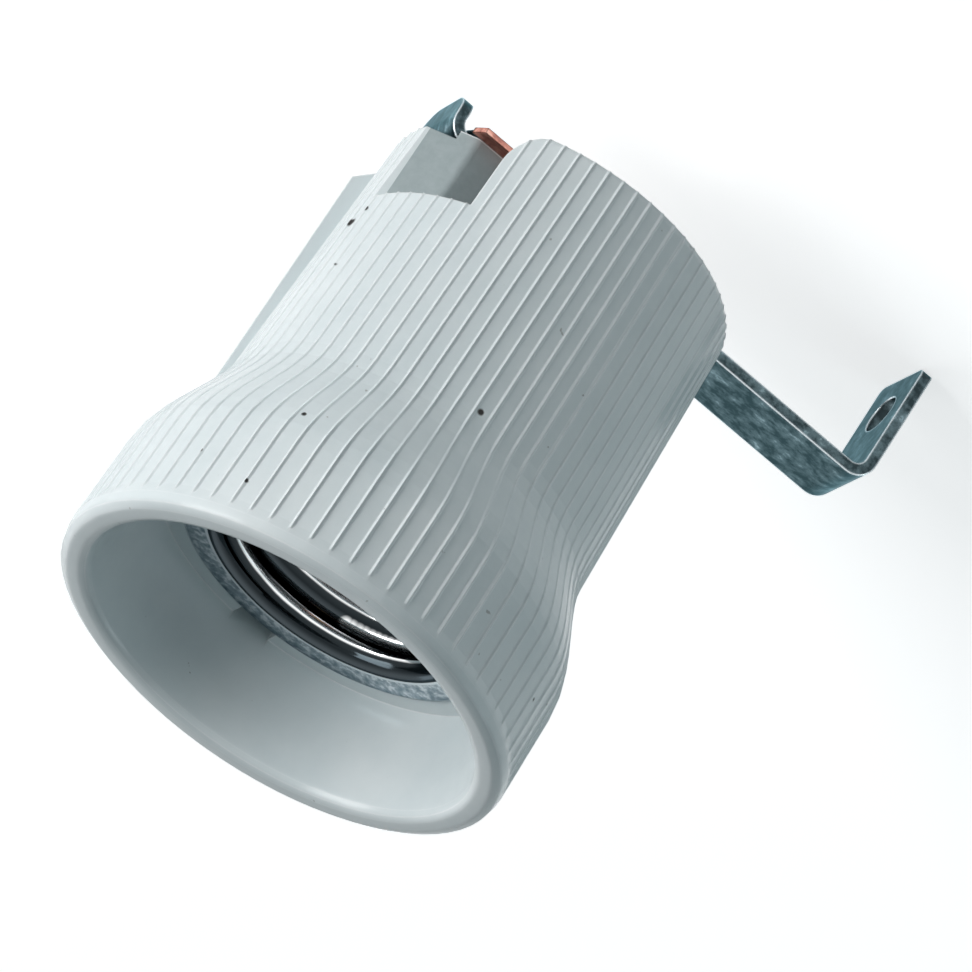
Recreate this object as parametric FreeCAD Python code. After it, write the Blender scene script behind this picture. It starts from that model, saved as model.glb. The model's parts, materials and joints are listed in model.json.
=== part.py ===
import FreeCAD, Part
import os
from math import cos, sin, tan, radians, sqrt

from FreeCAD import Vector

os.makedirs("parts", exist_ok=True)

# Sizes in millimetres. The body is drawn about its own axis with the back face at z = 0 and the
# mouth upwards. The last step moves everything so that the origin lies in the fixing hole.

# porcelain body, outside
body_length = 53.2
mouth_radius = 23.5
back_radius = 18.0
neck_radius = 19.2
neck_height = 31.0
shoulder_radius = 23.2
shoulder_height = 41.0
flare_blend = 1.5
flare_rings = 8
edge_round = 0.7
rim_round = 1.0
ridge_count = 70
ridge_width = 0.42
ridge_height_barrel = 0.15
ridge_height_flare = 0.07
ridge_height_bell = 0.20
ridge_end_height = 50.6
ridge_fade = 1.2
ridge_phase = 1.0
rib_radius = 19.85
rib_start_angle = 14.0
rib_end_angle = 34.0
rib_low = 4.6
rib_high = 31.8
rib_ramp = 1.6
rib_root = 3.0

# porcelain body, inside the mouth
mouth_bore_radius = 20.4
mouth_edge_round = 0.8
ledge_radius = 19.0
ledge_height = 42.0
socket_bore_radius = 15.0
socket_floor = 17.6
ledge_notch_width = 4.3
ledge_notch_depth = 3.2

# porcelain body, back end
pocket_wall = 2.8
pocket_depth = 10.2
bar_half_width = 5.5
bar_corner_x = 13.5
bar_corner_round = 1.2
bar_end_angle = 35.0
notch_side_angle = -46.5
notch_corner_round = 4.4
notch_inner_radius = 10.0

# screw shell
shell_sheet = 0.45
thread_pitch = 3.629
thread_minor_radius = 12.2
thread_major_radius = 13.3
thread_half_waves = 11
thread_top_drop = 0.85
shell_lip_radius = 16.6
shell_ring_radius = 11.4
shell_tab_width = 6.0
shell_tab_reach = 5.4
shell_lip_round = 0.3

# centre contact
leaf_sheet = 0.45
leaf_width = 4.6
leaf_rise = 2.6
leaf_foot_length = 4.8
leaf_top_length = 5.2
leaf_nose_length = 1.0
leaf_nose_drop = 0.6
tip_radius = 1.9
tip_height = 0.9
tip_stem_radius = 0.8
tip_stem_head = 0.5
tip_stem_drop = 0.4

# rivets that join the contacts to the terminal plates
rivet_radius = 1.5
rivet_head_radius = 2.1
rivet_head_height = 0.9
rivet_y = 7.9
rivet_hole_clearance = 0.1

# terminals
terminal_sheet = 0.6
terminal_bend_share = 0.8
terminal_face = 0.1
terminal_near_y = 5.7
terminal_strip_y = 10.2
terminal_pad_y = 11.2
terminal_tongue_y = 7.3
terminal_foot_x = -2.8
terminal_leg_x = 2.5
terminal_pad_end_x = 9.3
terminal_reach = 15.6
clamp_x = 6.5
clamp_y = 8.5
clamp_screw_radius = 1.5
clamp_screw_clearance = 0.15
clamp_thread_clearance = 0.05
clamp_head_radius = 2.6
clamp_head_height = 1.7
clamp_slot_width = 0.8
clamp_slot_depth = 0.9
clamp_shank_length = 6.2
clamp_nut_width = 5.0
clamp_nut_height = 2.2
clamp_nut_chamfer = 0.4

# bracket
strap_width = 8.4
strap_thickness = 1.2
strap_side_clearance = 0.15
channel_depth = 1.0
arm_reach = 35.1
arm_drop = 12.95
arm_corner = 0.8
tab_reach = 16.45
tab_drop = 3.9
tab_corner = 2.4
bend_radius = 1.2
fixing_hole_radius = 2.1
fixing_hole_drop = 8.4

# both kinds of slotted screw
screw_head_chamfer = 0.25
screw_point_chamfer = 0.4

# bracket screws and their nuts
bracket_screw_x = 11.0
bracket_screw_radius = 1.75
bracket_screw_clearance = 0.15
bracket_head_radius = 2.9
bracket_head_height = 2.6
bracket_slot_width = 0.9
bracket_slot_depth = 1.1
bracket_shank_length = 8.2
nut_width = 6.0
nut_height = 2.3
nut_depth = 4.6
nut_clearance = 0.1
screw_hole_spare = 0.4

# how far a cutting tool runs past the face that it cuts, and a reach that is outside the whole body
CUT = 1.0
OUTSIDE = 1.5 * mouth_radius
NEAR = 1e-6
DOME_STEPS = 3

UP = Vector(0, 0, 1)
TO_ORIGIN = Vector(arm_reach + strap_thickness, 0, fixing_hole_drop)


def save(name, shape):
    """Writes one named piece, moved so that the fixing hole is the origin."""
    piece = shape.copy()
    piece.translate(TO_ORIGIN)
    piece.exportStep("parts/" + name + ".step")


def cylinder(radius, low, high, x=0.0, y=0.0):
    """A round bar along Z between two heights."""
    return Part.makeCylinder(radius, high - low, Vector(x, y, low))


def block(low, high):
    """A box between two corners."""
    size = Vector(high[0] - low[0], high[1] - low[1], high[2] - low[2])
    return Part.makeBox(size.x, size.y, size.z, Vector(*low))


def turned(points):
    """A solid of revolution about Z from (radius, height) points."""
    corners = [Vector(r, 0, z) for r, z in points]
    wire = Part.makePolygon(corners + [corners[0]])
    return Part.Face(wire).revolve(Vector(0, 0, 0), UP, 360)


def dome(radius, base, top):
    """Points (radius, height) of a quarter ellipse from its rim at the base height to the axis."""
    angles = [radians(90.0 * i / DOME_STEPS) for i in range(DOME_STEPS + 1)]
    return [(radius * cos(a), base + (top - base) * sin(a)) for a in angles[:-1]] + [(0, top)]


def half_turn(shape):
    """A copy turned by 180 degrees about the body's axis."""
    copy = shape.copy()
    copy.rotate(Vector(0, 0, 0), UP, 180)
    return copy


def ridged_ring(radius, ridge, height):
    """A closed ring whose ridges reach the radius and stand off the plain runs between them by the ridge."""
    half = ridge_width / 2 / radius
    plain = radius - ridge
    points = []
    for i in range(ridge_count):
        top = radians(ridge_phase + i * 360.0 / ridge_count)
        for distance, angle in ((plain, top - half), (radius, top), (plain, top + half)):
            points.append(Vector(distance * cos(angle), distance * sin(angle), height))
    return Part.makePolygon(points + points[:1])


def barrel_radius(height):
    """Radius of the tapered barrel at a height."""
    return back_radius + (neck_radius - back_radius) * height / neck_height


def bell_radius(height):
    """Radius of the slightly tapered bell at a height."""
    slope = (mouth_radius - shoulder_radius) / (body_length - shoulder_height)
    return mouth_radius - slope * (body_length - height)


def flare_ring(share):
    """Radius, ridge and height at a share of the way along the smooth flare."""
    low = neck_height - flare_blend
    high = shoulder_height + flare_blend
    span = high - low
    rise = share * share * (3 - 2 * share)
    start_slope = (neck_radius - back_radius) / neck_height * span
    end_slope = (mouth_radius - shoulder_radius) / (body_length - shoulder_height) * span
    radius = barrel_radius(low) * (1 - rise) + bell_radius(high) * rise
    radius += start_slope * share * (1 - share) ** 2 - end_slope * share * share * (1 - share)
    ends = ridge_height_barrel * (1 - share) + ridge_height_bell * share
    ridge = ends + (ridge_height_flare - ends) * sin(radians(180 * share)) ** 2
    return radius, ridge, low + span * share


def make_outside():
    """The ridged outer form: barrel, smooth flare, bell and plain rim."""
    rings = [
        (back_radius - edge_round, ridge_height_barrel * 0.4, 0.0),
        (back_radius - 0.25 * edge_round, ridge_height_barrel * 0.8, 0.35 * edge_round),
        (barrel_radius(edge_round), ridge_height_barrel, edge_round),
    ]
    rings += [flare_ring(i / flare_rings) for i in range(flare_rings + 1)]
    rings += [
        (bell_radius(ridge_end_height), ridge_height_bell, ridge_end_height),
        (bell_radius(ridge_end_height + ridge_fade), 0, ridge_end_height + ridge_fade),
        (mouth_radius - 0.25 * rim_round, 0, body_length - 0.4 * rim_round),
        (mouth_radius - rim_round, 0, body_length),
    ]
    return Part.makeLoft([ridged_ring(*ring) for ring in rings], True, True)


def make_rib():
    """The plain raised land along the barrel."""
    a = radians(rib_start_angle)
    b = radians(rib_end_angle)
    m = (a + b) / 2
    inner = neck_radius - rib_root

    def at(radius, angle):
        return Vector(radius * cos(angle), radius * sin(angle), rib_low)

    crown = Part.Arc(at(rib_radius, a), at(rib_radius, m), at(rib_radius, b)).toShape()
    wire = Part.Wire([Part.makeLine(at(inner, a), at(rib_radius, a)), crown,
                      Part.makeLine(at(rib_radius, b), at(inner, b)), Part.makeLine(at(inner, b), at(inner, a))])
    land = Part.Face(wire).extrude(Vector(0, 0, rib_high - rib_low))
    barrel = turned([(0, rib_low), (rib_radius - rib_ramp, rib_low), (rib_radius, rib_low + rib_ramp),
                     (rib_radius, rib_high), (0, rib_high)])
    return land.common(barrel)


def make_mouth_bore():
    """The hollow of the mouth, the ledge and the bore for the screw shell."""
    slope = (mouth_bore_radius - ledge_radius) / (body_length - ledge_height)
    soft = mouth_edge_round
    top = body_length + CUT
    return turned([
        (0, socket_floor), (socket_bore_radius, socket_floor), (socket_bore_radius, ledge_height),
        (ledge_radius, ledge_height), (mouth_bore_radius - slope * soft, body_length - soft),
        (mouth_bore_radius + 0.25 * soft, body_length - 0.3 * soft), (mouth_bore_radius + soft, body_length),
        (mouth_bore_radius + soft, top), (0, top)])


def make_pocket():
    """One terminal pocket, open at the back, on the -Y side of the centre bar."""
    radius = back_radius - pocket_wall
    round_part = cylinder(radius, -CUT, pocket_depth)
    return round_part.common(block((-OUTSIDE, -OUTSIDE, -CUT), (OUTSIDE, -bar_half_width, pocket_depth)))


def make_wire_notch():
    """The opening through the wall beside the round end of the centre bar, with its soft corner."""
    inner = notch_inner_radius
    side = radians(notch_side_angle)
    reach = 1.2 * back_radius - bar_corner_x
    tip = Vector(bar_corner_x + reach, reach * tan(radians(bar_end_angle)) - bar_half_width, -CUT)
    corners = [
        Vector(inner * cos(side), -bar_half_width, -CUT),
        Vector(bar_corner_x, -bar_half_width, -CUT),
        tip,
        Vector(OUTSIDE, tip.y, -CUT),
        Vector(OUTSIDE, OUTSIDE * sin(side), -CUT),
        Vector(OUTSIDE * cos(side), OUTSIDE * sin(side), -CUT),
        Vector(inner * cos(side), inner * sin(side), -CUT),
    ]
    opening = Part.Face(Part.makePolygon(corners + corners[:1])).extrude(Vector(0, 0, pocket_depth + CUT))
    bar_edge = [edge for edge in opening.Edges
                if abs(edge.CenterOfMass.x - bar_corner_x) < NEAR
                and abs(edge.CenterOfMass.y + bar_half_width) < NEAR]
    opening = opening.makeFillet(bar_corner_round, bar_edge)
    return opening.fuse(make_notch_corner(side))


def make_notch_corner(side):
    """The soft corner where the wall meets the notch, drawn on the notch's side and run outwards."""
    radial = Vector(cos(side), sin(side), 0)
    along = Vector(sin(side), -cos(side), 0)
    k = notch_corner_round
    into = CUT / 2

    def at(t, height):
        return radial * notch_inner_radius + along * t + UP * height

    half_way = k - k * cos(radians(45))
    curve = Part.Arc(at(0, k), at(half_way, half_way), at(k, 0)).toShape()
    edges = [Part.makeLine(at(-into, -CUT), at(-into, k)), Part.makeLine(at(-into, k), at(0, k)), curve,
             Part.makeLine(at(k, 0), at(k, -CUT)), Part.makeLine(at(k, -CUT), at(-into, -CUT))]
    return Part.Face(Part.Wire(edges)).extrude(radial * (OUTSIDE - notch_inner_radius))


def make_body():
    """The whole porcelain body."""
    body = make_outside().fuse(make_rib())
    body = body.cut(make_mouth_bore())
    half = ledge_notch_width / 2
    low = ledge_height - ledge_notch_depth
    gap = block((-half, 0, low), (half, ledge_radius, ledge_height + CUT))
    pocket = make_pocket()
    notch = make_wire_notch()
    rivet_hole = cylinder(rivet_radius + rivet_hole_clearance, pocket_depth - CUT, socket_floor + CUT,
                          0, -rivet_y)
    nut_half = nut_width / 2 + nut_clearance
    nut_slot = block((bracket_screw_x - nut_half, -nut_half, nut_depth - nut_clearance),
                     (bracket_screw_x + nut_half, bar_half_width + CUT, nut_depth + nut_height + nut_clearance))
    screw_hole = cylinder(bracket_screw_radius + bracket_screw_clearance, -CUT,
                          bracket_shank_length + screw_hole_spare, bracket_screw_x, 0)
    half_channel = strap_width / 2 + strap_side_clearance
    channel = block((-OUTSIDE, -half_channel, -CUT), (OUTSIDE, half_channel, channel_depth))
    for tool in (gap, pocket, notch, rivet_hole, nut_slot, screw_hole):
        body = body.cut(tool)
        body = body.cut(half_turn(tool))
    return body.cut(channel)


def make_screw_shell():
    """The pressed sheet shell: ring and tab at the foot, thread, and the turned-out lip."""
    t = shell_sheet
    low = socket_floor
    top = ledge_height + t
    neck = top - thread_top_drop
    quarter = thread_pitch / 4
    mid = (thread_minor_radius + thread_major_radius) / 2
    wave = [(mid, neck)]
    for i in range(thread_half_waves * 2):
        radius = thread_minor_radius if i // 2 % 2 == 0 else thread_major_radius
        wave.append((radius, neck - (i + 0.5) * quarter))
    inside = wave + [(mid, low + t), (shell_ring_radius, low + t)]
    outside = [(shell_ring_radius, low), (mid + t, low)] + [(r + t, z) for r, z in reversed(wave)]
    soft = shell_lip_round
    lip = [(mid + t + soft, top - t), (shell_lip_radius, top - t), (shell_lip_radius, top - soft / 2),
           (shell_lip_radius - soft, top), (mid + 2 * soft, top), (mid + soft / 2, top - soft)]
    shell = turned(outside + lip + inside)
    tab_end = (shell_ring_radius + mid) / 2
    tab = block((-shell_tab_width / 2, shell_tab_reach, low), (shell_tab_width / 2, tab_end, low + t))
    return shell.fuse(tab).cut(cylinder(rivet_radius, low - CUT, low + t + CUT, 0, rivet_y))


def make_leaf():
    """The bent contact strip: foot under its rivet, slope, and the top that carries the tip."""
    t = leaf_sheet
    low = socket_floor
    foot_end = -rivet_y - rivet_head_radius
    foot_in = foot_end + leaf_foot_length
    top_low = low + leaf_rise
    half = leaf_top_length / 2
    lean = t / 2
    nose = half + leaf_nose_length
    outline = [(foot_end, low), (foot_in, low), (-half + lean, top_low), (half, top_low),
               (nose, top_low - leaf_nose_drop), (nose + lean, top_low - leaf_nose_drop + lean),
               (half + lean, top_low + t), (-half - lean, top_low + t),
               (foot_in - 2 * lean, low + t), (foot_end, low + t)]
    corners = [Vector(-leaf_width / 2, y, z) for y, z in outline]
    strip = Part.Face(Part.makePolygon(corners + corners[:1])).extrude(Vector(leaf_width, 0, 0))
    strip = strip.cut(cylinder(rivet_radius, low - CUT, low + t + CUT, 0, -rivet_y))
    return strip.cut(cylinder(tip_stem_radius, top_low - CUT, top_low + t + CUT))


def make_tip():
    """The contact button with its stem closed over under the strip."""
    low = socket_floor + leaf_rise
    top = low + leaf_sheet
    side = top + tip_height / 3
    stem_head = tip_stem_radius + tip_stem_head
    return turned([(0, low - tip_stem_drop), (tip_stem_radius, low - tip_stem_drop), (stem_head, low),
                   (tip_stem_radius, low), (tip_stem_radius, top), (tip_radius, top)]
                  + dome(tip_radius, side, top + tip_height))


def make_rivet(sheet, side):
    """A rivet from the contact sheet in the socket to the terminal strip in its pocket."""
    top = socket_floor + sheet
    low = pocket_depth - terminal_sheet
    h = rivet_head_height
    foot = dome(rivet_head_radius, low, low - h)[::-1]
    rivet = turned(foot + [(rivet_radius, low), (rivet_radius, top)] + dome(rivet_head_radius, top, top + h))
    rivet.translate(Vector(0, side * rivet_y, 0))
    return rivet


def make_terminal():
    """The bent terminal strip on the -Y side: foot on the pocket's floor, leg, pad and tongue."""
    t = terminal_sheet
    near = -terminal_near_y
    leg = terminal_leg_x
    low = terminal_face - t
    foot = block((terminal_foot_x, -terminal_strip_y, pocket_depth - t), (leg + t, near, pocket_depth))
    upright = block((leg, -terminal_strip_y, low), (leg + t, near, pocket_depth))
    pad = block((leg, -terminal_pad_y, low), (terminal_pad_end_x, near, terminal_face))
    tongue = block((leg, -terminal_tongue_y, low), (terminal_reach, near, terminal_face))
    strip = foot.fuse(upright).fuse(pad).fuse(tongue.common(cylinder(terminal_reach, low, terminal_face)))
    strip = strip.removeSplitter()
    strip = strip.cut(cylinder(rivet_radius, pocket_depth - t - CUT, pocket_depth + CUT, 0, -rivet_y))
    hole = cylinder(clamp_screw_radius + clamp_screw_clearance, low - CUT, terminal_face + CUT,
                    clamp_x, -clamp_y)
    strip = strip.cut(hole)
    outer_bends = [(leg, low), (leg + t, pocket_depth)]
    bends = [edge for edge in strip.Edges for x, z in outer_bends
             if abs(edge.CenterOfMass.x - x) < NEAR and abs(edge.CenterOfMass.z - z) < NEAR
             and abs(edge.Vertexes[0].X - edge.Vertexes[-1].X) < NEAR
             and edge.Length > terminal_strip_y - terminal_near_y - NEAR]
    return strip.makeFillet(terminal_bend_share * t, bends)


def make_clamp_nut():
    """The square nut that draws the wire against the pad."""
    low = terminal_face
    top = low + clamp_nut_height
    half = clamp_nut_width / 2
    nut = block((clamp_x - half, -clamp_y - half, low), (clamp_x + half, -clamp_y + half, top))
    upright = [edge for edge in nut.Edges if abs(edge.Vertexes[0].Z - edge.Vertexes[1].Z) > NEAR]
    nut = nut.makeChamfer(clamp_nut_chamfer, upright)
    return nut.cut(cylinder(clamp_screw_radius + clamp_thread_clearance, low - CUT, top + CUT,
                            clamp_x, -clamp_y))


def make_slotted_screw(x, y, seat, head_radius, head_height, shank_radius, shank_length, slot_width, slot_depth):
    """A cheese-head screw whose head hangs below its seat and whose shank goes up."""
    low = seat - head_height
    end = seat + shank_length
    soft = screw_head_chamfer
    point = screw_point_chamfer
    screw = turned([(0, low), (head_radius - soft, low), (head_radius, low + soft), (head_radius, seat),
                    (shank_radius, seat), (shank_radius, end - point), (shank_radius - point, end), (0, end)])
    half = slot_width / 2
    slot = block((-head_radius - CUT, -half, low - CUT), (head_radius + CUT, half, low + slot_depth))
    screw = screw.cut(slot)
    screw.translate(Vector(x, y, 0))
    return screw


def make_clamp_screw():
    """The terminal screw of the pocket on the -Y side."""
    seat = terminal_face - terminal_sheet
    return make_slotted_screw(clamp_x, -clamp_y, seat, clamp_head_radius, clamp_head_height, clamp_screw_radius,
                              clamp_shank_length, clamp_slot_width, clamp_slot_depth)


def make_bracket():
    """The steel strap bent down at both ends: a short tab at +X and the long arm at -X."""
    t = strap_thickness
    high = channel_depth
    low = high - t
    outer = bend_radius + t
    left = -(arm_reach + t)
    right = tab_reach

    def p(x, z):
        return Vector(x, 0, z)

    def bend(x0, z0, xm, zm, x1, z1):
        return Part.Arc(p(x0, z0), p(xm, zm), p(x1, z1)).toShape()

    d = sqrt(0.5)
    cl = (left + outer, high - outer)
    cr = (right - outer, high - outer)
    edges = [
        Part.makeLine(p(left, -arm_drop), p(left, cl[1])),
        bend(left, cl[1], cl[0] - outer * d, cl[1] + outer * d, cl[0], high),
        Part.makeLine(p(cl[0], high), p(cr[0], high)),
        bend(cr[0], high, cr[0] + outer * d, cr[1] + outer * d, right, cr[1]),
        Part.makeLine(p(right, cr[1]), p(right, -tab_drop)),
        Part.makeLine(p(right, -tab_drop), p(right - t, -tab_drop)),
        Part.makeLine(p(right - t, -tab_drop), p(right - t, cr[1])),
        bend(right - t, cr[1], cr[0] + bend_radius * d, cr[1] + bend_radius * d, cr[0], low),
        Part.makeLine(p(cr[0], low), p(cl[0], low)),
        bend(cl[0], low, cl[0] - bend_radius * d, cl[1] + bend_radius * d, left + t, cl[1]),
        Part.makeLine(p(left + t, cl[1]), p(left + t, -arm_drop)),
        Part.makeLine(p(left + t, -arm_drop), p(left, -arm_drop)),
    ]
    strap = Part.Face(Part.Wire(edges)).extrude(Vector(0, strap_width, 0))
    strap.translate(Vector(0, -strap_width / 2, 0))
    strap = round_end(strap, arm_drop, -1, arm_corner)
    strap = round_end(strap, tab_drop, 1, tab_corner)
    strap = strap.cut(Part.makeCylinder(fixing_hole_radius, t + 2 * CUT, Vector(left - CUT, 0, -fixing_hole_drop),
                                        Vector(1, 0, 0)))
    for x in (-bracket_screw_x, bracket_screw_x):
        strap = strap.cut(cylinder(bracket_screw_radius + bracket_screw_clearance, low - CUT, high + CUT, x, 0))
    return strap


def round_end(strap, drop, side, radius):
    """Rounds the two corners of the strap's end at a drop below the back face, on the -X or +X side."""
    corners = [edge for edge in strap.Edges if abs(edge.CenterOfMass.z + drop) < NEAR
               and edge.CenterOfMass.x * side > 0 and edge.Length < strap_thickness + NEAR]
    return strap.makeFillet(radius, corners)


def make_bracket_screw():
    """The screw through the strap on the +X side."""
    seat = channel_depth - strap_thickness
    return make_slotted_screw(bracket_screw_x, 0, seat, bracket_head_radius, bracket_head_height,
                              bracket_screw_radius, bracket_shank_length, bracket_slot_width, bracket_slot_depth)


def make_bracket_nut():
    """The square nut that lies in the slot of the centre bar on the +X side."""
    half = nut_width / 2
    nut = block((bracket_screw_x - half, -half, nut_depth),
                (bracket_screw_x + half, half, nut_depth + nut_height))
    return nut.cut(cylinder(bracket_screw_radius, nut_depth - CUT, nut_depth + nut_height + CUT,
                            bracket_screw_x, 0))


save("porcelain_body", make_body())
save("screw_shell", make_screw_shell())
save("contact_leaf", make_leaf())
save("contact_tip", make_tip())
save("contact_rivet", make_rivet(leaf_sheet, -1))
save("shell_rivet", make_rivet(shell_sheet, 1))
save("contact_terminal", make_terminal())
save("shell_terminal", half_turn(make_terminal()))
save("contact_clamp_nut", make_clamp_nut())
save("shell_clamp_nut", half_turn(make_clamp_nut()))
save("contact_clamp_screw", make_clamp_screw())
save("shell_clamp_screw", half_turn(make_clamp_screw()))
save("bracket_strap", make_bracket())
save("tab_side_screw", make_bracket_screw())
save("arm_side_screw", half_turn(make_bracket_screw()))
save("tab_side_nut", make_bracket_nut())
save("arm_side_nut", half_turn(make_bracket_nut()))
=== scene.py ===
import json
import math

import bpy
from mathutils import Matrix, Vector


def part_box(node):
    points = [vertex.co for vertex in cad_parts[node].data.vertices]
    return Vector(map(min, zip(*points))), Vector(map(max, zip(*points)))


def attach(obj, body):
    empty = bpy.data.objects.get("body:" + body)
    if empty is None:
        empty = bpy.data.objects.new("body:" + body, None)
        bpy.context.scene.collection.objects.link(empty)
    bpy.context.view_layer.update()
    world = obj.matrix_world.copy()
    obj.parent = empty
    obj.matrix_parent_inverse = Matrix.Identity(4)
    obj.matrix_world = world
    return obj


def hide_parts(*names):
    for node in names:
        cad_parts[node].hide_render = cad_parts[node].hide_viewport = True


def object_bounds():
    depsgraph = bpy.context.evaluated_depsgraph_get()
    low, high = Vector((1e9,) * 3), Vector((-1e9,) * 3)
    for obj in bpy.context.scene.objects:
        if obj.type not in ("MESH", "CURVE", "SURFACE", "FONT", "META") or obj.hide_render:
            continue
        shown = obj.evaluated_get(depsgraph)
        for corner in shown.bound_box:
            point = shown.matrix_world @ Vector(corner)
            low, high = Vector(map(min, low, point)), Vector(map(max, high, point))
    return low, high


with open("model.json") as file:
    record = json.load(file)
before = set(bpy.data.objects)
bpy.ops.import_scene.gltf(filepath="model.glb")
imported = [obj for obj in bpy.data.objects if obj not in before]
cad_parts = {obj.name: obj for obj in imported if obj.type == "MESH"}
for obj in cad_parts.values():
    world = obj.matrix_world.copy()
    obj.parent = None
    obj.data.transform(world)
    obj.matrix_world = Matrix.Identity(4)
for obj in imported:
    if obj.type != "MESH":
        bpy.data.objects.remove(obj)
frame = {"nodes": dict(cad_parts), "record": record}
nodes = frame["nodes"]
low_at_load, high_at_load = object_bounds()

MM = 0.001

# The body's own axis and back face in the row frame, read from the frame
body_low, body_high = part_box("porcelain_body")
shell_low, shell_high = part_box("screw_shell")
AXIS_X = (body_low.x + body_high.x) / 2
BACK_Z = body_low.z
ORIGIN = Vector((AXIS_X, 0.0, BACK_Z))

# An angle round the body's axis from the camera, in degrees, is this much more than the angle from +X
CAMERA_TO_BODY_ANGLE = 76.13

# Screw shell, millimetres; radii and the tab's places are from the body's axis
SHEET = 0.45
THREAD_PITCH = 3.629
THREAD_CREST_RADIUS = 12.2
THREAD_ROOT_RADIUS = 13.3
LIP_RADIUS = 16.6
FOOT_RING_RADIUS = 11.4
TAB_HALF_WIDTH = 3.0
TAB_INNER_END = 5.4
TAB_HOLE_PLACE = 7.9
TAB_HOLE_RADIUS = 1.5

# Height over the back face of one crest of the thread, on the side away from the camera
THREAD_CREST_HEIGHT = 40.70

# The thread runs from this far under the shell's top to this far over its foot, and comes in over the fades
THREAD_TOP_DROP = 0.75
THREAD_FOOT_RISE = 0.5
THREAD_TOP_FADE = 0.7
THREAD_FOOT_FADE = 1.2

# Points of the lip: how far outside its edge or the thread's middle, and how far under the shell's top
LIP_EDGE = [(-0.08, 0.12), (-0.35, 0.0)]
LIP_ROLL = [(1.0, 0.0), (0.55, 0.1), (0.2, 0.38)]

# The bend into the foot's ring: its rise over the ring, and its reach inwards
FOOT_BEND_RISE = 0.15
FOOT_BEND_REACH = 0.2

# Steps of the shell's mesh: round the axis, down the thread, and round the tab's hole
SHELL_STEPS = 160
THREAD_STEPS = 140
HOLE_STEPS = 48

# A share of a direction that is smaller than this counts as none
NEARLY_ZERO = 1e-6

# Terminal pockets, millimetres: the porcelain is bare, and darkened with painted shade, inside this radius
# and between these heights
CHAMBER_RADIUS = 17.6
CHAMBER_LOW = 0.15
CHAMBER_HIGH = 10.3

# The ridges end below this height over the back face, in millimetres, and the plain rim is above it
RIM_HEIGHT = 51.2

# Middle and half length of the flare, where the ridges hardly rise, and the length over which they come back
FLARE_HEIGHT = 36.0
FLARE_HALF = 4.5
FLARE_FADE = 1.8

# Porcelain edges, millimetres: how far they are softened below the rim and on it, and where the glaze thins
# and a painted highlight runs along the ridges
RIDGE_SOFTNESS = 0.22
RIM_SOFTNESS = 0.9
GLAZE_AND_HIGHLIGHT_WIDTH = 0.26

# Pinholes in the glaze: degrees from the camera, height and radius of the place, the hole's radius.
# These are the ones that the photograph shows.
SEEN_PITS = [(-7, 29.0, 19.1, 0.42), (67, 12.0, 18.5, 0.34), (71, 13.4, 18.5, 0.55), (61, 19.5, 18.8, 0.25),
             (-64, 46.0, 23.3, 0.30), (30.5, 48.5, 23.4, 0.30), (46.5, 46.5, 23.4, 0.26),
             (29, 39.5, 22.6, 0.30)]
# These are guesses, on the sides that the photograph doesn't show.
GUESSED_PITS = [(120, 22.0, 18.9, 0.3), (165, 37.0, 21.9, 0.25), (-130, 14.0, 18.5, 0.3),
                (-105, 44.0, 23.3, 0.26)]
ALL_PITS = SEEN_PITS + GUESSED_PITS

# Painted highlight, a bright stretch in a root of the shell's thread: degrees from the camera at each place,
# and their radius
PAINTED_HIGHLIGHT_PLACES = range(192, 234, 3)
PAINTED_HIGHLIGHT_SIZE = 0.85

# The lip's finish starts at this radius, and its two edges carry a painted highlight over this width, in
# millimetres
LIP_FINISH_START = THREAD_ROOT_RADIUS + 0.5
EDGE_HIGHLIGHT_WIDTH = 0.32

# Colours. A list gives them along a noise from 0 to 1, or down the thread from its crest to its root.
GLAZE = [(0.3, (0.65, 0.72, 0.738)), (0.7, (0.765, 0.814, 0.824))]
# Lighter where the glaze thins on the ridges, with a painted highlight there
THIN_GLAZE_AND_HIGHLIGHT = (0.95, 0.97, 0.98, 1.0)
# Bare porcelain in the pockets, darkened with painted shade
BARE_PORCELAIN_AND_SHADE = [(0.3, (0.36, 0.42, 0.43)), (0.7, (0.43, 0.49, 0.50))]
SPECK = (0.20, 0.19, 0.17, 1.0)
SPECK_STEP = [(0.755, (0.0, 0.0, 0.0)), (0.79, (1.0, 1.0, 1.0))]
PINHOLE = (0.012, 0.011, 0.010, 1.0)
ZINC = [(0.42, (0.030, 0.046, 0.051)), (0.60, (0.110, 0.158, 0.174)), (0.76, (0.40, 0.53, 0.58))]
# Painted highlight on the zinc's edges
ZINC_EDGE_HIGHLIGHT = (0.88, 0.96, 1.0, 1.0)
ZINC_GLANCING = (0.58, 0.80, 0.87, 1.0)
BRONZE = [(0.36, (0.30, 0.11, 0.09)), (0.52, (0.62, 0.28, 0.22)), (0.70, (0.95, 0.62, 0.52))]
# Painted shade on the bronze's edges
BRONZE_EDGE_SHADE = (0.06, 0.018, 0.015, 1.0)
BRONZE_GLANCING = (1.0, 0.8, 0.75, 1.0)
BRASS = [(0.35, (0.45, 0.32, 0.12)), (0.65, (0.80, 0.63, 0.32))]
BRASS_EDGE = (0.88, 0.74, 0.44, 1.0)
BRASS_GLANCING = (1.0, 0.95, 0.8, 1.0)
# The thread: a painted highlight on the crest, then tarnish with painted shade down the flanks and in the
# root
THREAD_PLATE_AND_PAINTED_LIGHT = [(0.10, (0.97, 0.99, 1.0)), (0.20, (0.030, 0.038, 0.042)), (0.60, (0.016, 0.021, 0.024)),
                (0.95, (0.060, 0.074, 0.082))]
# Colour of the painted highlight in a root of the thread
THREAD_PAINTED_HIGHLIGHT = (0.95, 0.97, 0.97, 1.0)
LIP_PLATE = [(0.36, (0.32, 0.39, 0.43)), (0.50, (0.54, 0.61, 0.65)), (0.60, (0.94, 0.97, 0.99))]
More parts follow.
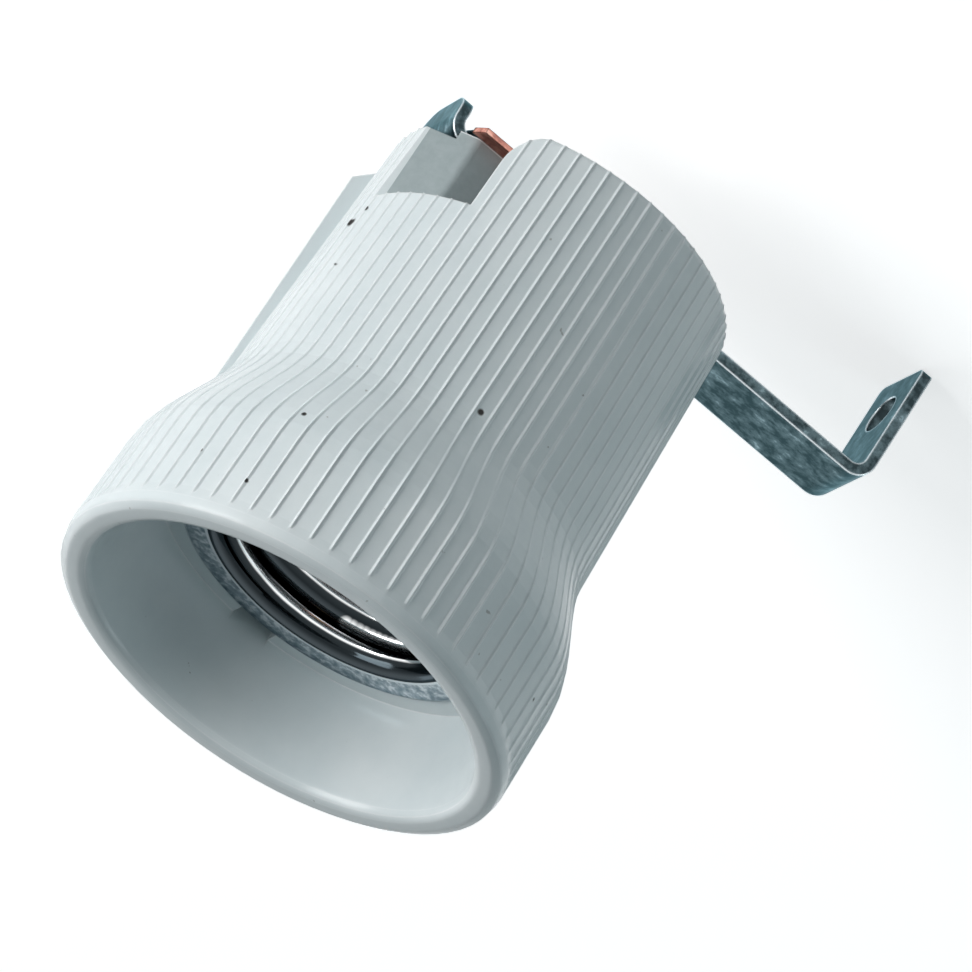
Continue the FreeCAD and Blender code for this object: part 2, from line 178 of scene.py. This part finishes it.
# Colour of the painted highlight on the lip's edges
LIP_EDGE_HIGHLIGHT = (0.95, 0.98, 1.0, 1.0)
PLATE_GLANCING = (0.26, 0.30, 0.33, 1.0)
FLOOR_COLOUR = (0.9, 0.9, 0.9, 1.0)

# Faces that meet at more than this many degrees keep a sharp edge, on the frame's nodes and on the shell
SHARP_ON_NODES = 28
SHARP_ON_SHELL = 40

# Floor, metres: how far it lies under the part and how far it reaches; and its own light where it is seen
FLOOR_GAP = 0.0002
FLOOR_REACH = 8.0
FLOOR_LIFT = 0.66

# Camera: fitted to the rims, the ridges and the thread in the photo. The rows are the photo's right, down and
# forward directions in the body's own directions; the place is in millimetres from the body's origin.
PHOTO_FOCAL_PIXELS = 10565.985
PHOTO_PIXELS = 972.0
SENSOR_WIDTH = 36.0
BODY_TURN = 162.217
RIGHT = Vector((0.8481337963, 0.1975191758, -0.4915844167))
DOWN = Vector((0.5269982462, -0.4095478247, 0.7446767270))
FORWARD = Vector((-0.0542393951, -0.8906496250, -0.4514436106))
OFFSET = Vector((7.0707359919, -22.5711158023, 990.6305121076))

# The camera's clip distances, metres
CLIP_START = 0.05
CLIP_END = 40.0

# Lamps: shares of the photo's right, down and forward directions and of straight up, then metres from the
# part's middle, metres across, watts and colour
LAMPS = {
    "key": ((-0.80, -0.38, -0.50, 0.0), 0.9, 0.50, 6.8, (1.0, 0.99, 0.985)),
    "back": ((-0.7, 0.0, 0.9, 0.6), 0.9, 0.5, 1.0, (0.96, 0.98, 1.0)),
    "side": ((0.90, 0.66, -0.12, 0.0), 0.9, 0.4, 1.4, (0.84, 0.97, 1.0)),
}
AMBIENT_COLOUR = (0.68, 0.93, 1.0, 1.0)
AMBIENT_STRENGTH = 0.12


def on_body(radius, angle, height):
    """A point in the row frame; radius and height over the back face in mm, angle from +X in degrees."""
    a = math.radians(angle)
    return ORIGIN + Vector((radius * math.cos(a), radius * math.sin(a), height)) * MM


def from_camera(radius, angle, height):
    """The same, with the angle counted from the camera."""
    return on_body(radius, angle - CAMERA_TO_BODY_ANGLE, height)


def crest_height(angle):
    """Height of one turn of the thread's crest, in mm, at an angle from the camera."""
    return THREAD_CREST_HEIGHT + THREAD_PITCH * (angle - 180.0) / 360.0


# Node trees


def new_material(name):
    """A material with an empty Principled surface; returns it with its tree and shader."""
    material = bpy.data.materials.new(name)
    material.use_nodes = True
    tree = material.node_tree
    shader = tree.nodes["Principled BSDF"]
    return material, tree, shader


def add(tree, kind, **inputs):
    """A node of the given kind with the named input values."""
    node = tree.nodes.new(kind)
    for name, given in inputs.items():
        node.inputs[name.replace("_", " ")].default_value = given
    return node


def object_place(tree):
    """Object coordinates."""
    return tree.nodes.new("ShaderNodeTexCoord").outputs["Object"]


def object_axes(tree):
    """Object coordinates as three outputs, X, Y and Z."""
    split = tree.nodes.new("ShaderNodeSeparateXYZ")
    tree.links.new(object_place(tree), split.inputs["Vector"])
    return split.outputs


def noise(tree, scale, detail=4.0, rough=0.5, stretch=(1, 1, 1)):
    """Noise over the object's own coordinates, with a factor for each axis."""
    mapping = tree.nodes.new("ShaderNodeMapping")
    mapping.inputs["Scale"].default_value = stretch
    tree.links.new(object_place(tree), mapping.inputs["Vector"])
    node = add(tree, "ShaderNodeTexNoise", Scale=scale, Detail=detail, Roughness=rough)
    tree.links.new(mapping.outputs["Vector"], node.inputs["Vector"])
    return node.outputs["Fac"]


def ramp(tree, source, stops):
    """A colour ramp from (position, colour) stops."""
    node = tree.nodes.new("ShaderNodeValToRGB")
    while len(node.color_ramp.elements) < len(stops):
        node.color_ramp.elements.new(0.5)
    for element, (position, colour) in zip(node.color_ramp.elements, stops):
        element.position = position
        element.color = (*colour, 1.0)
    tree.links.new(source, node.inputs["Fac"])
    return node.outputs["Color"]


def spread(tree, source, low, high):
    """Maps 0 to 1 onto low to high."""
    node = tree.nodes.new("ShaderNodeMapRange")
    node.inputs["To Min"].default_value = low
    node.inputs["To Max"].default_value = high
    tree.links.new(source, node.inputs["Value"])
    return node.outputs["Result"]


def bump(tree, source, strength, distance, normal):
    """A bump from a height over the given normals; distance is in metres."""
    node = add(tree, "ShaderNodeBump", Strength=strength, Distance=distance)
    tree.links.new(source, node.inputs["Height"])
    tree.links.new(normal, node.inputs["Normal"])
    return node.outputs["Normal"]


def rounded(tree, radius):
    """Normals that soften every edge by a small radius, given as a number or a socket."""
    node = tree.nodes.new("ShaderNodeBevel")
    node.samples = 6
    if isinstance(radius, float):
        node.inputs["Radius"].default_value = radius
    else:
        tree.links.new(radius, node.inputs["Radius"])
    return node.outputs["Normal"]


def value(tree, operation, *inputs):
    """A math node; each input is a number or a socket."""
    node = tree.nodes.new("ShaderNodeMath")
    node.operation = operation
    for socket, given in zip(node.inputs, inputs):
        if isinstance(given, (int, float)):
            socket.default_value = given
        else:
            tree.links.new(given, socket)
    return node.outputs[0]


def clamped(socket):
    """The output of a math node, held between 0 and 1."""
    socket.node.use_clamp = True
    return socket


def edges(tree, radius, gain):
    """1 on edges that a small radius would soften, and 0 on smooth faces."""
    apart = tree.nodes.new("ShaderNodeVectorMath")
    apart.operation = "DOT_PRODUCT"
    tree.links.new(rounded(tree, radius), apart.inputs[0])
    tree.links.new(tree.nodes.new("ShaderNodeNewGeometry").outputs["Normal"], apart.inputs[1])
    return clamped(value(tree, "MULTIPLY", value(tree, "SUBTRACT", 1.0, apart.outputs["Value"]), gain))


def mix(tree, factor, first, second):
    """A colour mix; the factor and each colour is a socket or a value."""
    node = tree.nodes.new("ShaderNodeMix")
    node.data_type = "RGBA"
    for name, given in (("Factor", factor), ("A", first), ("B", second)):
        socket = [one for one in node.inputs if one.name == name and one.enabled][0]
        if isinstance(given, bpy.types.NodeSocket):
            tree.links.new(given, socket)
        else:
            socket.default_value = given
    return [one for one in node.outputs if one.enabled][0]


def axis_radius(tree, place):
    """Distance from the body's axis, worked out from the object's X and Y."""
    x = value(tree, "SUBTRACT", place["X"], AXIS_X)
    x_squared = value(tree, "MULTIPLY", x, x)
    y_squared = value(tree, "MULTIPLY", place["Y"], place["Y"])
    return value(tree, "SQRT", value(tree, "ADD", x_squared, y_squared))


def spots(tree, marks, softness):
    """1 inside the marks, given as (point in the row frame, radius in mm), and 0 elsewhere."""
    place = object_place(tree)
    total = None
    for point, size in marks:
        radius = size * MM
        apart = tree.nodes.new("ShaderNodeVectorMath")
        apart.operation = "DISTANCE"
        tree.links.new(place, apart.inputs[0])
        apart.inputs[1].default_value = point
        inside = value(tree, "SUBTRACT", radius, apart.outputs["Value"])
        near = clamped(value(tree, "DIVIDE", inside, radius * softness))
        total = near if total is None else value(tree, "MAXIMUM", total, near)
    return total


def background_rays(tree):
    """1 for the camera's rays and for those that a surface mirrors or lets through, and 0 for the rest."""
    rays = tree.nodes.new("ShaderNodeLightPath").outputs
    passed_on = value(tree, "MAXIMUM", rays["Is Glossy Ray"], rays["Is Transmission Ray"])
    return value(tree, "MAXIMUM", rays["Is Camera Ray"], passed_on)


# Finishes


def chamber(tree):
    """1 on the unglazed faces of the terminal pockets and notches, which are also darkened with painted
    shade, and 0 elsewhere.
    """
    place = object_axes(tree)
    inside = value(tree, "LESS_THAN", axis_radius(tree, place), CHAMBER_RADIUS * MM)
    low = value(tree, "LESS_THAN", place["Z"], BACK_Z + CHAMBER_HIGH * MM)
    clear = value(tree, "GREATER_THAN", place["Z"], BACK_Z + CHAMBER_LOW * MM)
    return value(tree, "MULTIPLY", value(tree, "MULTIPLY", inside, low), clear)


def thin_glaze_and_highlight(tree, height):
    """How far the glaze thins and a painted highlight lies on the ridges' edges: unevenly, and hardly at all
    on the flare.
    """
    uneven = spread(tree, noise(tree, scale=420.0, detail=3.0, rough=0.6), 0.2, 1.5)
    thin_and_lit = clamped(value(tree, "MULTIPLY", edges(tree, GLAZE_AND_HIGHLIGHT_WIDTH * MM, gain=14.0), uneven))
    from_flare = value(tree, "ABSOLUTE", value(tree, "SUBTRACT", height, BACK_Z + FLARE_HEIGHT * MM))
    past_flare = value(tree, "SUBTRACT", from_flare, FLARE_HALF * MM)
    clear = clamped(value(tree, "DIVIDE", past_flare, FLARE_FADE * MM))
    return value(tree, "MULTIPLY", thin_and_lit, spread(tree, clear, 0.1, 0.85))


def porcelain():
    """White glazed porcelain: glaze that thins on the ridges, with a painted highlight there, specks and
    pinholes, and bare pockets darkened with painted shade.
    """
    material, tree, shader = new_material("porcelain_glaze")
    height = object_axes(tree)["Z"]
    pocket = chamber(tree)
    pits = spots(tree, [(from_camera(r, angle, z), size) for angle, z, r, size in ALL_PITS], softness=0.35)
    specks = ramp(tree, noise(tree, scale=950.0, detail=2.0), SPECK_STEP)
    glaze = ramp(tree, noise(tree, scale=55.0, detail=6.0, rough=0.62), GLAZE)
    bare_and_shaded = ramp(tree, noise(tree, scale=900.0, detail=5.0, rough=0.7), BARE_PORCELAIN_AND_SHADE)
    # Thinner glaze and a painted highlight on the ridges
    colour = mix(tree, thin_glaze_and_highlight(tree, height), glaze, THIN_GLAZE_AND_HIGHLIGHT)
    colour = mix(tree, value(tree, "MULTIPLY", specks, 0.55), colour, SPECK)
    # Painted shade on the bare porcelain in the pockets
    colour = mix(tree, pocket, colour, bare_and_shaded)
    tree.links.new(mix(tree, pits, colour, PINHOLE), shader.inputs["Base Color"])

    shine = spread(tree, noise(tree, scale=220.0), 0.14, 0.26)
    matt = value(tree, "MAXIMUM", value(tree, "MULTIPLY", pocket, 0.75), value(tree, "MULTIPLY", pits, 0.6))
    tree.links.new(value(tree, "MAXIMUM", shine, matt), shader.inputs["Roughness"])
    shader.inputs["IOR"].default_value = 1.5
    shader.inputs["Specular IOR Level"].default_value = 0.35

    on_rim = value(tree, "GREATER_THAN", height, BACK_Z + RIM_HEIGHT * MM)
    soft = rounded(tree, spread(tree, on_rim, RIDGE_SOFTNESS * MM, RIM_SOFTNESS * MM))
    waves = noise(tree, scale=130.0, detail=3.0)
    wavy = bump(tree, waves, strength=0.35, distance=0.22 * MM, normal=soft)
    grain = noise(tree, scale=1400.0, rough=0.6)
    grainy = bump(tree, grain, strength=0.25, distance=0.03 * MM, normal=wavy)
    unpitted = value(tree, "SUBTRACT", 1.0, pits)
    sunk = bump(tree, unpitted, strength=0.8, distance=0.15 * MM, normal=grainy)
    tree.links.new(sunk, shader.inputs["Normal"])
    return material


def metal(name, stops, shine, stretch, edge, edge_colour, glancing):
    """A metal with a mottled colour, streaks along one way, an uneven shine and edges of their own colour,
    which is a painted highlight on the zinc and painted shade on the bronze.
    """
    material, tree, shader = new_material(name)
    mottled = ramp(tree, noise(tree, scale=540.0, detail=6.0, rough=0.68, stretch=stretch), stops)
    # Edges painted in a colour of their own: a painted highlight on the zinc, painted shade on the bronze
    on_edge = value(tree, "MULTIPLY", edges(tree, edge * MM, gain=9.0), 0.9)
    tree.links.new(mix(tree, on_edge, mottled, edge_colour), shader.inputs["Base Color"])
    streaks = noise(tree, scale=180.0, detail=6.0, rough=0.7, stretch=stretch)
    tree.links.new(spread(tree, streaks, *shine), shader.inputs["Roughness"])
    shader.inputs["Metallic"].default_value = 1.0
    shader.inputs["Specular Tint"].default_value = glancing
    streaky = bump(tree, streaks, strength=0.12, distance=0.05 * MM, normal=rounded(tree, edge * MM))
    tree.links.new(streaky, shader.inputs["Normal"])
    return material


def zinc():
    """Dull zinc plate on steel, with a painted highlight on its edges."""
    return metal("zinc_plate", ZINC, shine=(0.22, 0.40), stretch=(0.9, 1.3, 1.0), edge=0.30,
                 edge_colour=ZINC_EDGE_HIGHLIGHT, glancing=ZINC_GLANCING)


def bronze():
    """Reddish bronze strip with painted shade on its edges."""
    return metal("bronze_strip", BRONZE, shine=(0.12, 0.26), stretch=(0.7, 1.5, 1.0), edge=0.20,
                 edge_colour=BRONZE_EDGE_SHADE, glancing=BRONZE_GLANCING)


def brass():
    """Turned brass."""
    return metal("brass_button", BRASS, shine=(0.12, 0.28), stretch=(1, 1, 1), edge=0.10,
                 edge_colour=BRASS_EDGE, glancing=BRASS_GLANCING)


def painted_highlight_stretch(tree):
    """1 on the painted highlight, a bright stretch in the thread's root, broken up by fine noise."""
    marks = []
    for angle in PAINTED_HIGHLIGHT_PLACES:
        root = crest_height(angle) - THREAD_PITCH / 2
        marks.append((from_camera(THREAD_ROOT_RADIUS, angle, root), PAINTED_HIGHLIGHT_SIZE))
    broken = spread(tree, noise(tree, scale=700.0, detail=3.0, rough=0.6), 0.2, 2.2)
    return clamped(value(tree, "MULTIPLY", spots(tree, marks, softness=0.7), broken))


def thread_wall(tree, radius, lip):
    """Colour of the thread: a painted highlight on its crests, tarnish and painted shade on its flanks and in
    its roots, and a painted highlight on one stretch of a root.
    """
    from_crest = value(tree, "SUBTRACT", radius, THREAD_CREST_RADIUS * MM)
    depth = value(tree, "DIVIDE", from_crest, (THREAD_ROOT_RADIUS - THREAD_CREST_RADIUS) * MM)
    into = clamped(value(tree, "SUBTRACT", depth, value(tree, "MULTIPLY", lip, 10.0)))
    cloud = value(tree, "MULTIPLY", value(tree, "SUBTRACT", noise(tree, scale=260.0), 0.5), 0.12)
    # Painted highlight on the crest, tarnish and painted shade further down
    wall = ramp(tree, value(tree, "ADD", into, cloud), THREAD_PLATE_AND_PAINTED_LIGHT)
    # A painted highlight on one stretch of the root
    return mix(tree, painted_highlight_stretch(tree), wall, THREAD_PAINTED_HIGHLIGHT)


def shell_plate():
    """Nickel plate on the screw shell: tarnish with painted shade in the thread and painted highlights on its
    crests and in one root, cloudy on the lip, and a painted highlight on the lip's edges.
    """
    material, tree, shader = new_material("nickel_plate")
    radius = axis_radius(tree, object_axes(tree))
    lip = value(tree, "GREATER_THAN", radius, LIP_FINISH_START * MM)
    cloudy = ramp(tree, noise(tree, scale=1300.0, detail=5.0, rough=0.6), LIP_PLATE)
    plate = mix(tree, lip, thread_wall(tree, radius, lip), cloudy)
    # Painted highlight along the lip's outer and inner edges
    outer_edge = value(tree, "GREATER_THAN", radius, (LIP_RADIUS - EDGE_HIGHLIGHT_WIDTH) * MM)
    inner_edge = value(tree, "LESS_THAN", radius, (LIP_FINISH_START + EDGE_HIGHLIGHT_WIDTH) * MM)
    edge_highlight = value(tree, "MAXIMUM", outer_edge, value(tree, "MULTIPLY", inner_edge, lip))
    tree.links.new(mix(tree, edge_highlight, plate, LIP_EDGE_HIGHLIGHT), shader.inputs["Base Color"])
    shine = spread(tree, noise(tree, scale=300.0, detail=5.0, rough=0.6), 0.06, 0.17)
    tree.links.new(shine, shader.inputs["Roughness"])
    shader.inputs["Metallic"].default_value = 1.0
    shader.inputs["Specular Tint"].default_value = PLATE_GLANCING
    waves = noise(tree, scale=160.0, detail=3.0)
    wavy = bump(tree, waves, strength=0.3, distance=0.10 * MM, normal=rounded(tree, 0.05 * MM))
    tree.links.new(wavy, shader.inputs["Normal"])
    return material


finishes = {
    "porcelain": porcelain(),
    "zinc_steel": zinc(),
    "nickel_brass": shell_plate(),
    "bronze": bronze(),
    "brass": brass(),
}


def shade_smooth(mesh, sharp_from):
    """Smooth shading, with sharp edges from an angle in degrees."""
    mesh.polygons.foreach_set("use_smooth", [True] * len(mesh.polygons))
    mesh.set_sharp_from_angle(angle=math.radians(sharp_from))


for part in frame["record"]["subparts"]:
    node = nodes[part["node"]]
    node.data.materials.clear()
    node.data.materials.append(finishes[part["material_slot"]])
    shade_smooth(node.data, SHARP_ON_NODES)

# Screw shell


def mesh_object(name, vertices, faces, material, body):
    """A mesh piece that rides on a body."""
    mesh = bpy.data.meshes.new(name)
    mesh.from_pydata(vertices, [], faces)
    mesh.update()
    shade_smooth(mesh, SHARP_ON_SHELL)
    mesh.materials.append(finishes[material])
    obj = bpy.data.objects.new(name, mesh)
    bpy.context.scene.collection.objects.link(obj)
    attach(obj, body)
    return obj


def ring_faces(count, around):
    """Faces between neighbours, where so many vertices make so many closed outlines around an axis."""
    rows = count // around
    faces = []
    for j in range(around):
        a, b = j * rows, (j + 1) % around * rows
        for i in range(rows):
            k = (i + 1) % rows
            faces.append((a + i, b + i, b + k, a + k))
    return faces


def shell_profile(angle):
    """Inner face of the shell, lip to foot, as (radius, height) in mm at an angle from +X."""
    top = (shell_high.z - BACK_Z) / MM
    floor = (shell_low.z - BACK_Z) / MM + SHEET
    middle = (THREAD_CREST_RADIUS + THREAD_ROOT_RADIUS) / 2
    swing = (THREAD_ROOT_RADIUS - THREAD_CREST_RADIUS) / 2
    crest = crest_height(angle + CAMERA_TO_BODY_ANGLE)
    neck = top - THREAD_TOP_DROP
    start = floor + THREAD_FOOT_RISE
    points = [(LIP_RADIUS + out, top - drop) for out, drop in LIP_EDGE]
    points += [(middle + out, top - drop) for out, drop in LIP_ROLL]
    for i in range(THREAD_STEPS + 1):
        z = neck + (start - neck) * i / THREAD_STEPS
        into = min(1.0, (neck - z) / THREAD_TOP_FADE) * min(1.0, (z - start) / THREAD_FOOT_FADE)
        wave = math.cos(2 * math.pi * (z - crest) / THREAD_PITCH)
        points.append((middle - swing * wave * into, z))
    points += [(middle, floor + FOOT_BEND_RISE), (middle - FOOT_BEND_REACH, floor), (FOOT_RING_RADIUS, floor)]
    return points


def shell_outline(angle):
    """The shell's section at one angle: its inner face, and its outer face a sheet's thickness away."""
    inner = shell_profile(angle)
    outer = []
    for i, (r, z) in enumerate(inner):
        before = inner[max(i - 1, 0)]
        after = inner[min(i + 1, len(inner) - 1)]
        dr, dz = after[0] - before[0], after[1] - before[1]
        size = math.hypot(dr, dz)
        outer.append((min(r - dz / size * SHEET, LIP_RADIUS), z + dr / size * SHEET))
    return inner + outer[::-1]


def tab_reach(x, y):
    """How far the foot tab's outline is from the middle of its hole, in mm, along the direction (x, y)."""
    along = TAB_HOLE_PLACE * y
    reaches = [math.sqrt(along ** 2 + FOOT_RING_RADIUS ** 2 - TAB_HOLE_PLACE ** 2) - along]
    if abs(x) > NEARLY_ZERO:
        reaches.append(TAB_HALF_WIDTH / abs(x))
    if y < -NEARLY_ZERO:
        reaches.append((TAB_INNER_END - TAB_HOLE_PLACE) / y)
    return min(reaches)


def foot_tab():
    """The flat tab at the shell's foot with its rivet hole, as vertices and faces."""
    far_y = math.sqrt(FOOT_RING_RADIUS ** 2 - TAB_HALF_WIDTH ** 2)
    turns = {2 * math.pi * i / HOLE_STEPS for i in range(HOLE_STEPS)}
    for x in (-TAB_HALF_WIDTH, TAB_HALF_WIDTH):
        for y in (TAB_INNER_END, far_y):
            turns.add(math.atan2(y - TAB_HOLE_PLACE, x) % (2 * math.pi))
    low = (shell_low.z - BACK_Z) / MM
    high = low + SHEET
    vertices = []
    for turn in sorted(turns):
        x, y = math.cos(turn), math.sin(turn)
        edge = tab_reach(x, y)
        for reach, height in ((TAB_HOLE_RADIUS, high), (TAB_HOLE_RADIUS, low), (edge, low), (edge, high)):
            vertices.append(ORIGIN + Vector((reach * x, TAB_HOLE_PLACE + reach * y, height)) * MM)
    return vertices, ring_faces(len(vertices), len(turns))


def make_shell():
    """The screw shell with a true helical thread and its foot tab, in place of the plain rings."""
    vertices = []
    for step in range(SHELL_STEPS):
        angle = 360.0 * step / SHELL_STEPS
        vertices += [on_body(r, angle, z) for r, z in shell_outline(angle)]
    faces = ring_faces(len(vertices), SHELL_STEPS)
    tab_vertices, tab_faces = foot_tab()
    faces += [[len(vertices) + i for i in face] for face in tab_faces]
    return mesh_object("screw_shell_thread", vertices + tab_vertices, faces, "nickel_brass", "holder")


shell = make_shell()
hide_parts("screw_shell")

# Floor


def floor_finish():
    """Plain white that keeps the part's shadow, with light of its own only where it is seen."""
    material, tree, shader = new_material("studio_floor")
    shader.inputs["Base Color"].default_value = FLOOR_COLOUR
    shader.inputs["Roughness"].default_value = 0.9
    shader.inputs["Specular IOR Level"].default_value = 0.0
    lift = tree.nodes.new("ShaderNodeEmission")
    strength = value(tree, "MULTIPLY", background_rays(tree), FLOOR_LIFT)
    tree.links.new(strength, lift.inputs["Strength"])
    both = tree.nodes.new("ShaderNodeAddShader")
    tree.links.new(shader.outputs["BSDF"], both.inputs[0])
    tree.links.new(lift.outputs["Emission"], both.inputs[1])
    tree.links.new(both.outputs["Shader"], tree.nodes["Material Output"].inputs["Surface"])
    return material


def make_floor():
    """One wide plain square under the part."""
    z = low_at_load.z - FLOOR_GAP
    corners = [(-1, -1), (1, -1), (1, 1), (-1, 1)]
    mesh = bpy.data.meshes.new("studio_floor")
    mesh.from_pydata([(x * FLOOR_REACH, y * FLOOR_REACH, z) for x, y in corners], [], [(0, 1, 2, 3)])
    mesh.materials.append(floor_finish())
    obj = bpy.data.objects.new("studio_floor", mesh)
    bpy.context.scene.collection.objects.link(obj)
    return obj


floor = make_floor()

# Camera

to_row_frame = Matrix.Rotation(math.radians(-BODY_TURN), 3, "Z")
right = to_row_frame @ RIGHT
down = to_row_frame @ DOWN
forward = to_row_frame @ FORWARD


def make_camera():
    """The camera of the photograph."""
    data = bpy.data.cameras.new("photo_camera")
    data.sensor_width = SENSOR_WIDTH
    data.lens = PHOTO_FOCAL_PIXELS * SENSOR_WIDTH / PHOTO_PIXELS
    data.clip_start = CLIP_START
    data.clip_end = CLIP_END
    camera = bpy.data.objects.new("photo_camera", data)
    bpy.context.scene.collection.objects.link(camera)
    place = ORIGIN - (right * OFFSET.x + down * OFFSET.y + forward * OFFSET.z) * MM
    turned = Matrix((right, -down, -forward)).transposed()
    camera.matrix_world = Matrix.Translation(place) @ turned.to_4x4()
    return camera


bpy.context.scene.camera = make_camera()

# Light


def area_light(name, shares, distance, size, power, colour):
    """A square soft light that looks at the part's middle."""
    data = bpy.data.lights.new(name, "AREA")
    data.shape = "SQUARE"
    data.size = size
    data.energy = power
    data.color = colour
    light = bpy.data.objects.new(name, data)
    bpy.context.scene.collection.objects.link(light)
    along_right, along_down, along_forward, up = shares
    to_light = right * along_right + down * along_down + forward * along_forward + Vector((0.0, 0.0, up))
    way = to_light.normalized()
    light.location = (low_at_load + high_at_load) / 2 + way * distance
    light.rotation_mode = "QUATERNION"
    light.rotation_quaternion = way.to_track_quat("Z", "Y")


for lamp, settings in LAMPS.items():
    area_light(lamp, *settings)


def make_world():
    """A dim bluish world that lights the part, and plain white where it is seen."""
    world = bpy.data.worlds.new("studio")
    world.use_nodes = True
    tree = world.node_tree
    ambient = tree.nodes["Background"]
    ambient.inputs["Color"].default_value = AMBIENT_COLOUR
    ambient.inputs["Strength"].default_value = AMBIENT_STRENGTH
    white = add(tree, "ShaderNodeBackground", Color=(1, 1, 1, 1), Strength=1.0)
    choose = tree.nodes.new("ShaderNodeMixShader")
    tree.links.new(background_rays(tree), choose.inputs["Fac"])
    tree.links.new(ambient.outputs["Background"], choose.inputs[1])
    tree.links.new(white.outputs["Background"], choose.inputs[2])
    tree.links.new(choose.outputs["Shader"], tree.nodes["World Output"].inputs["Surface"])
    return world


bpy.context.scene.world = make_world()
bpy.context.scene.view_settings.view_transform = "Standard"
